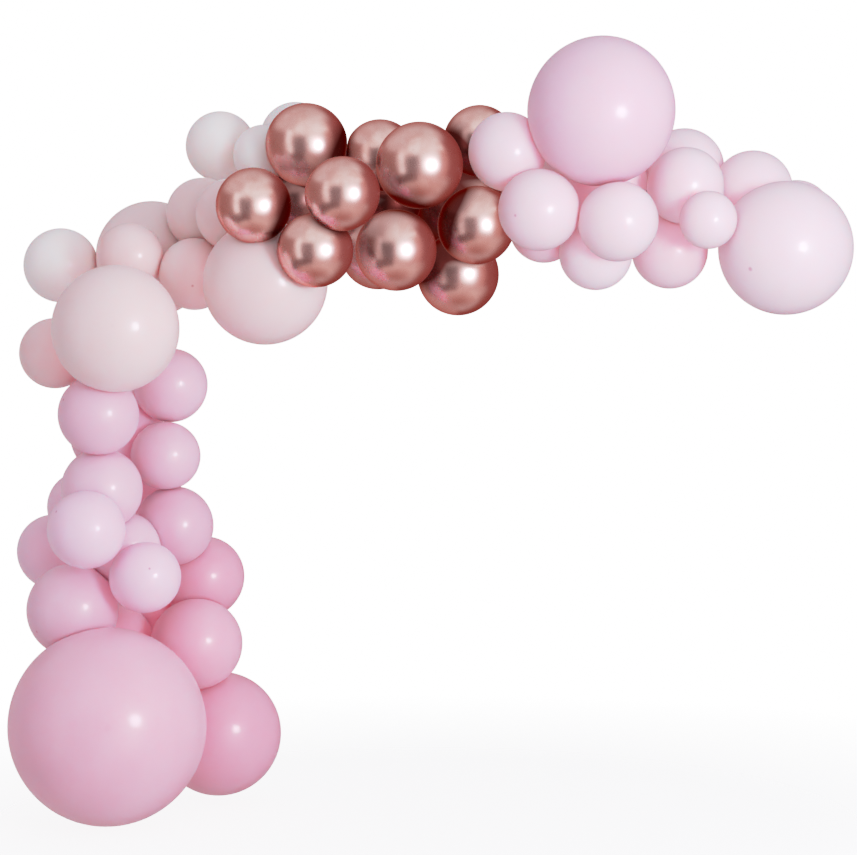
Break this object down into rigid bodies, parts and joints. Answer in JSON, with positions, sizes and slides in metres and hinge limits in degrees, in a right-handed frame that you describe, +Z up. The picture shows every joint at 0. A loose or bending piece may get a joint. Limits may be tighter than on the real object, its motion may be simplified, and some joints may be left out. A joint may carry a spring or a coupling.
{
  "type": "balloon garland backdrop",
  "caption": "Half-arch balloon garland for a wall: latex balloons in pinks, blush and rose-gold chrome on a clear strip that climbs one side, turns a corner and runs along the top.",
  "frame": {"origin": "on the back face of the strip at the garland's corner, where the corner hook holds it to the wall", "axes": "+X to the right along the arm, +Z up, +Y into the wall behind"},
  "size_m": [2.4044, 0.891, 2.1622],
  "materials": {
    "clear_strip": "clear glossy plastic",
    "rose_latex": "satin stretched latex",
    "pink_latex": "satin stretched latex",
    "light_pink_latex": "satin stretched latex",
    "blush_latex": "satin stretched latex",
    "ivory_latex": "satin stretched latex",
    "rose_gold_chrome": "rose-gold mirror latex",
    "pale_pink_latex": "satin stretched latex"
  },
  "bodies": {
    "root": {"garland_strip": "clear_strip", "leg_rose_balloon_01": "rose_latex", "leg_pink_balloon_02": "pink_latex", "leg_rose_balloon_03": "rose_latex", "leg_rose_balloon_04": "rose_latex", "leg_pink_balloon_05": "pink_latex", "leg_pink_balloon_06": "pink_latex", "leg_pink_balloon_07": "pink_latex", "leg_rose_balloon_08": "rose_latex", "leg_pink_balloon_09": "pink_latex", "leg_pink_balloon_10": "pink_latex", "leg_pink_balloon_11": "pink_latex", "leg_pink_balloon_12": "pink_latex", "leg_pink_balloon_13": "pink_latex", "leg_rose_balloon_14": "rose_latex", "leg_pink_balloon_15": "pink_latex", "leg_pink_balloon_16": "pink_latex", "leg_light_pink_balloon_17": "light_pink_latex", "leg_light_pink_balloon_18": "light_pink_latex", "leg_rose_balloon_19": "rose_latex", "corner_blush_balloon_01": "blush_latex", "corner_ivory_balloon_02": "ivory_latex", "corner_ivory_balloon_03": "ivory_latex", "corner_ivory_balloon_04": "ivory_latex", "corner_ivory_balloon_05": "ivory_latex", "corner_blush_balloon_06": "blush_latex", "corner_blush_balloon_07": "blush_latex", "corner_blush_balloon_08": "blush_latex", "corner_blush_balloon_09": "blush_latex", "corner_blush_balloon_10": "blush_latex", "corner_blush_balloon_11": "blush_latex", "corner_blush_balloon_12": "blush_latex", "chrome_rose_gold_balloon_01": "rose_gold_chrome", "chrome_rose_gold_balloon_02": "rose_gold_chrome", "chrome_rose_gold_balloon_03": "rose_gold_chrome", "chrome_rose_gold_balloon_04": "rose_gold_chrome", "chrome_rose_gold_balloon_05": "rose_gold_chrome", "chrome_rose_gold_balloon_06": "rose_gold_chrome", "chrome_rose_gold_balloon_07": "rose_gold_chrome", "chrome_rose_gold_balloon_08": "rose_gold_chrome", "chrome_rose_gold_balloon_09": "rose_gold_chrome", "chrome_rose_gold_balloon_10": "rose_gold_chrome", "chrome_rose_gold_balloon_11": "rose_gold_chrome", "chrome_rose_gold_balloon_12": "rose_gold_chrome", "chrome_rose_gold_balloon_13": "rose_gold_chrome", "chrome_rose_gold_balloon_14": "rose_gold_chrome", "arm_pale_pink_balloon_01": "pale_pink_latex", "arm_pale_pink_balloon_02": "pale_pink_latex", "arm_pale_pink_balloon_03": "pale_pink_latex", "arm_pale_pink_balloon_04": "pale_pink_latex", "arm_pale_pink_balloon_05": "pale_pink_latex", "arm_pale_pink_balloon_06": "pale_pink_latex", "arm_pale_pink_balloon_07": "pale_pink_latex", "arm_pale_pink_balloon_08": "pale_pink_latex", "arm_light_pink_balloon_09": "light_pink_latex", "arm_pale_pink_balloon_10": "pale_pink_latex", "arm_pale_pink_balloon_11": "pale_pink_latex", "arm_pale_pink_balloon_12": "pale_pink_latex", "arm_pale_pink_balloon_13": "pale_pink_latex", "arm_pale_pink_balloon_14": "pale_pink_latex"}
  },
  "joints": []
}
